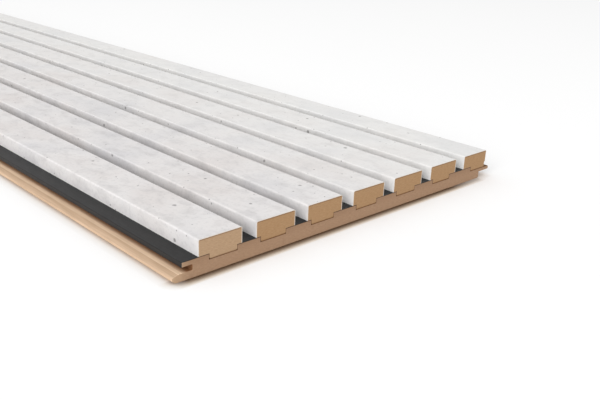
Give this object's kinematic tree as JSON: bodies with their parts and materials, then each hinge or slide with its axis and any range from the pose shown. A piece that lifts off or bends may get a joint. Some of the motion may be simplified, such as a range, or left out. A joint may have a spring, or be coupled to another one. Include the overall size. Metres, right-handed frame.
{
  "type": "slat wall panel",
  "caption": "Long wall panel of pale foil-wrapped slats keyed into a black-faced fibreboard backing, with a groove along one edge and a tongue along the other.",
  "frame": {"origin": "on the floor, in the middle of the panel's overall width and length, with the panel lying on its back", "axes": "+X across the panel towards the tongue edge, +Y along the slats, +Z out of the face, from the back to the slats' tops"},
  "size_m": [0.2934, 2.7, 0.021],
  "materials": {
    "fibreboard": "sawn and milled high-density fibreboard",
    "slat_fibreboard": "sawn medium-density fibreboard",
    "black_film": "matt, lightly grained",
    "decor_foil": "matt pale concrete look with faint clouds and small pores"
  },
  "bodies": {
    "root": {"backing_board": "fibreboard", "film_strip_1": "black_film", "film_strip_2": "black_film", "film_strip_3": "black_film", "film_strip_4": "black_film", "film_strip_5": "black_film", "film_strip_6": "black_film", "film_strip_7": "black_film", "slat_core_1": "slat_fibreboard", "slat_core_2": "slat_fibreboard", "slat_core_3": "slat_fibreboard", "slat_core_4": "slat_fibreboard", "slat_core_5": "slat_fibreboard", "slat_core_6": "slat_fibreboard", "slat_core_7": "slat_fibreboard", "slat_foil_1": "decor_foil", "slat_foil_2": "decor_foil", "slat_foil_3": "decor_foil", "slat_foil_4": "decor_foil", "slat_foil_5": "decor_foil", "slat_foil_6": "decor_foil", "slat_foil_7": "decor_foil"}
  },
  "joints": []
}
